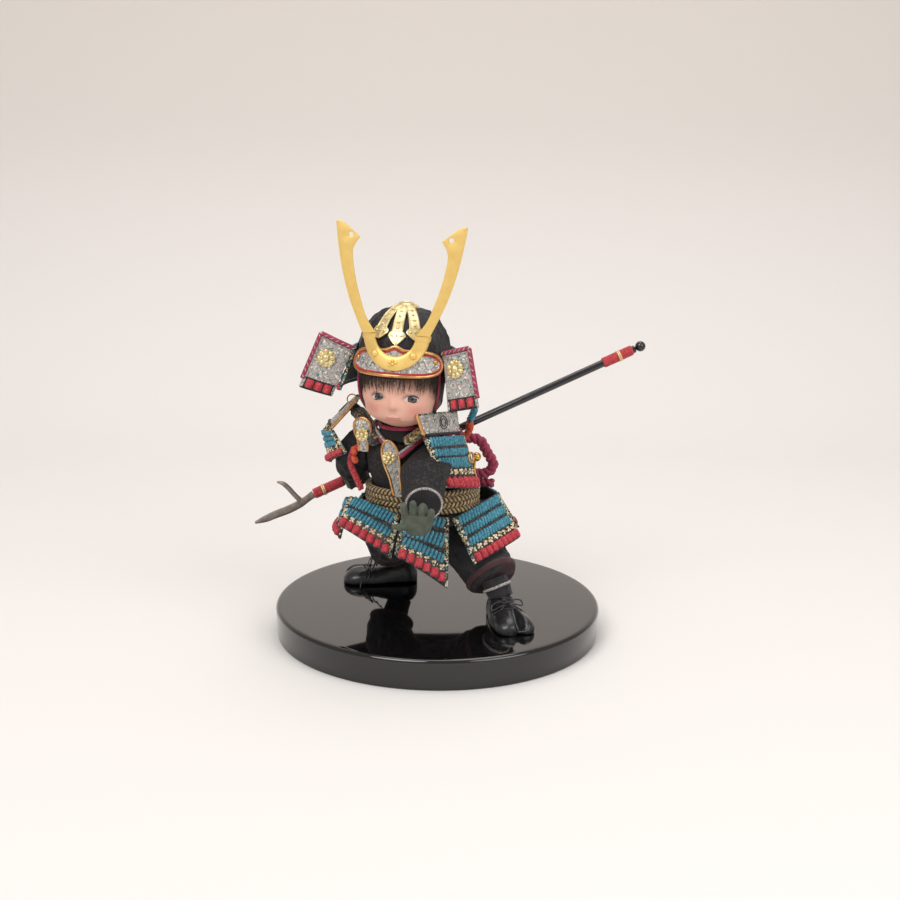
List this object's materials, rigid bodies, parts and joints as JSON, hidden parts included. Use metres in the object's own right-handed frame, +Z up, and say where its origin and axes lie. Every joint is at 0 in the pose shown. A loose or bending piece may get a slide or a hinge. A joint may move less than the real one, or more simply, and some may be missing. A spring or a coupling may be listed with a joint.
{
  "type": "samurai doll",
  "caption": "Armoured samurai doll in a low lunge on a round black stand, with a horned helmet, laced skirt plates and a forked spear.",
  "frame": {"origin": "centre of the stand's flat underside", "axes": "+Z up; +X to the doll's left, which is the right of the picture; the doll looks along -Y"},
  "size_m": [0.2943, 0.24, 0.3075],
  "materials": {
    "stand_lacquer": "mirror-black lacquer",
    "skin": "satin painted skin",
    "hair": "fine fibre",
    "helmet_black": "textured satin black",
    "gilt_metal": "pressed, bright gilt",
    "horn_gilt": "flat matte gilt",
    "silver_brocade": "woven brocade with metal thread",
    "gold_brocade": "woven brocade with metal thread",
    "dark_brocade": "dark woven brocade",
    "teal_lacing": "flat laced braid",
    "red_cord": "twisted silk-like cord",
    "crimson_cord": "braided cord",
    "silver_cord": "silver-thread cord",
    "black_cloth": "matte woven cloth",
    "rope": "braided gold-brown rope",
    "glove": "grey-green cloth",
    "black_leather": "glossy black",
    "shaft_lacquer": "gloss black",
    "blade_metal": "satin bronze-grey"
  },
  "bodies": {
    "root": {"display_stand": "stand_lacquer", "head": "skin", "hair": "hair", "helmet_bowl": "helmet_black", "crown_ornament": "gilt_metal", "visor": "silver_brocade", "visor_rim": "gilt_metal", "crest_socket": "gilt_metal", "left_horn": "horn_gilt", "right_horn": "horn_gilt", "neck_guard": "teal_lacing", "left_wing": "silver_brocade", "right_wing": "silver_brocade", "left_wing_boss": "gilt_metal", "right_wing_boss": "gilt_metal", "chin_cord": "red_cord", "torso_body": "black_cloth", "cuirass": "dark_brocade", "rope_belt": "rope", "centre_chest_plate": "silver_brocade", "right_chest_plate": "silver_brocade", "centre_chest_boss": "gilt_metal", "right_chest_boss": "gilt_metal", "inner_collar": "black_cloth", "robe_collar": "crimson_cord", "left_shoulder_strap": "gold_brocade", "right_shoulder_strap": "gold_brocade", "left_shoulder_cap": "silver_brocade", "right_shoulder_cap": "silver_brocade", "left_shoulder_guard": "teal_lacing", "right_shoulder_guard": "teal_lacing", "shoulder_ring": "gilt_metal", "shoulder_bead": "gilt_metal", "right_side_cord": "red_cord", "left_sleeve": "dark_brocade", "right_sleeve": "dark_brocade", "left_cuff": "silver_cord", "left_hand": "glove", "right_hand": "glove", "back_bow": "crimson_cord", "teal_cord": "teal_lacing", "red_cord": "red_cord", "skirt_padding": "black_cloth", "tasset_front_right": "teal_lacing", "tasset_front": "teal_lacing", "tasset_left": "teal_lacing", "tasset_back_left": "teal_lacing", "tasset_back": "teal_lacing", "tasset_back_right": "teal_lacing", "tasset_right": "teal_lacing", "trousers": "black_cloth", "left_sock": "black_cloth", "right_sock": "black_cloth", "left_shoe": "black_leather", "right_shoe": "black_leather", "spear_shaft": "shaft_lacquer", "spear_front_wrap": "red_cord", "spear_butt_wrap": "red_cord", "spear_blade": "blade_metal", "spear_butt_ball": "shaft_lacquer"}
  },
  "joints": []
}
